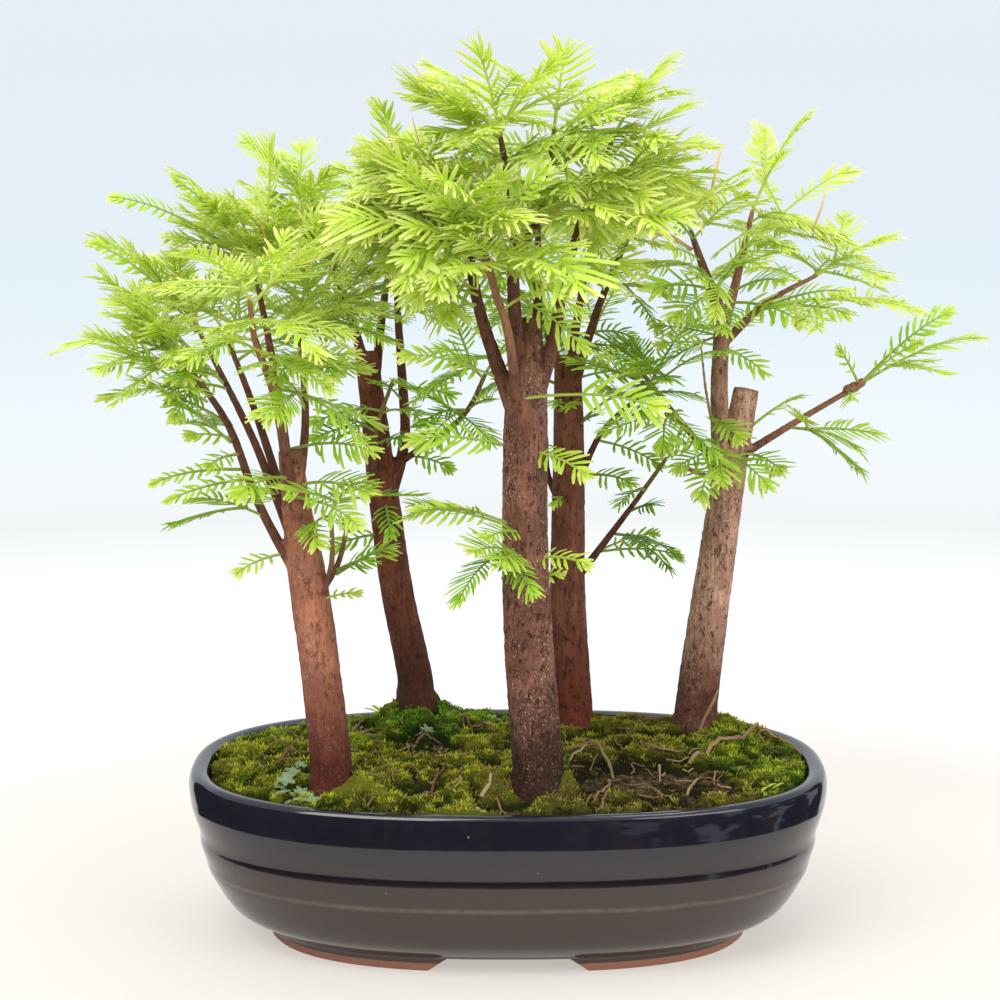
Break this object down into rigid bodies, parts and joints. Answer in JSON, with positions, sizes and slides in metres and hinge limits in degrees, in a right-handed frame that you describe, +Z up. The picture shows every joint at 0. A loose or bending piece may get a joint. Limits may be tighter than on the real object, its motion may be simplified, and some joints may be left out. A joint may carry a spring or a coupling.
{
  "type": "dawn redwood bonsai forest",
  "caption": "Forest of dawn redwood trees with flat-needled green shoots, growing from mossy soil in an oval glazed pot with low feet.",
  "frame": {"origin": "middle of the whole object's box, at the height of the table that the pot's feet stand on", "axes": "+X to the right along the pot's long side, +Y away from the front, +Z up"},
  "size_m": [0.3835, 0.2756, 0.3761],
  "materials": {
    "glaze": "gloss",
    "screen": "matte",
    "soil": "matte",
    "moss": "matte",
    "bark": "matte",
    "leaf": "satin"
  },
  "bodies": {
    "root": {"drain_screen_left": "screen", "drain_screen_right": "screen", "moss": "moss", "pot": "glaze", "shoot_centre_back_01": "leaf", "shoot_centre_back_02": "leaf", "shoot_centre_back_03": "leaf", "shoot_centre_back_04": "leaf", "shoot_centre_back_05": "leaf", "shoot_centre_front_01": "leaf", "shoot_centre_front_02": "leaf", "shoot_centre_front_03": "leaf", "shoot_centre_front_04": "leaf", "shoot_centre_front_05": "leaf", "shoot_centre_front_06": "leaf", "shoot_centre_front_07": "leaf", "shoot_centre_front_08": "leaf", "shoot_centre_front_09": "leaf", "shoot_centre_front_10": "leaf", "shoot_centre_front_11": "leaf", "shoot_centre_front_12": "leaf", "shoot_centre_front_13": "leaf", "shoot_centre_front_14": "leaf", "shoot_centre_front_15": "leaf", "shoot_left_back_01": "leaf", "shoot_left_back_02": "leaf", "shoot_left_back_03": "leaf", "shoot_left_back_04": "leaf", "shoot_left_back_05": "leaf", "shoot_left_back_06": "leaf", "shoot_left_back_07": "leaf", "shoot_left_back_08": "leaf", "shoot_left_front_01": "leaf", "shoot_left_front_02": "leaf", "shoot_left_front_03": "leaf", "shoot_left_front_04": "leaf", "shoot_left_front_05": "leaf", "shoot_left_front_06": "leaf", "shoot_left_front_07": "leaf", "shoot_left_front_08": "leaf", "shoot_left_front_09": "leaf", "shoot_left_front_10": "leaf", "shoot_left_front_11": "leaf", "shoot_left_front_12": "leaf", "shoot_left_front_13": "leaf", "shoot_left_front_14": "leaf", "shoot_right_01": "leaf", "shoot_right_02": "leaf", "shoot_right_03": "leaf", "shoot_right_04": "leaf", "shoot_right_05": "leaf", "shoot_right_06": "leaf", "shoot_right_07": "leaf", "shoot_right_08": "leaf", "soil": "soil", "tree_centre_back": "bark", "tree_centre_front": "bark", "tree_left_back": "bark", "tree_left_front": "bark", "tree_right": "bark"}
  },
  "joints": []
}
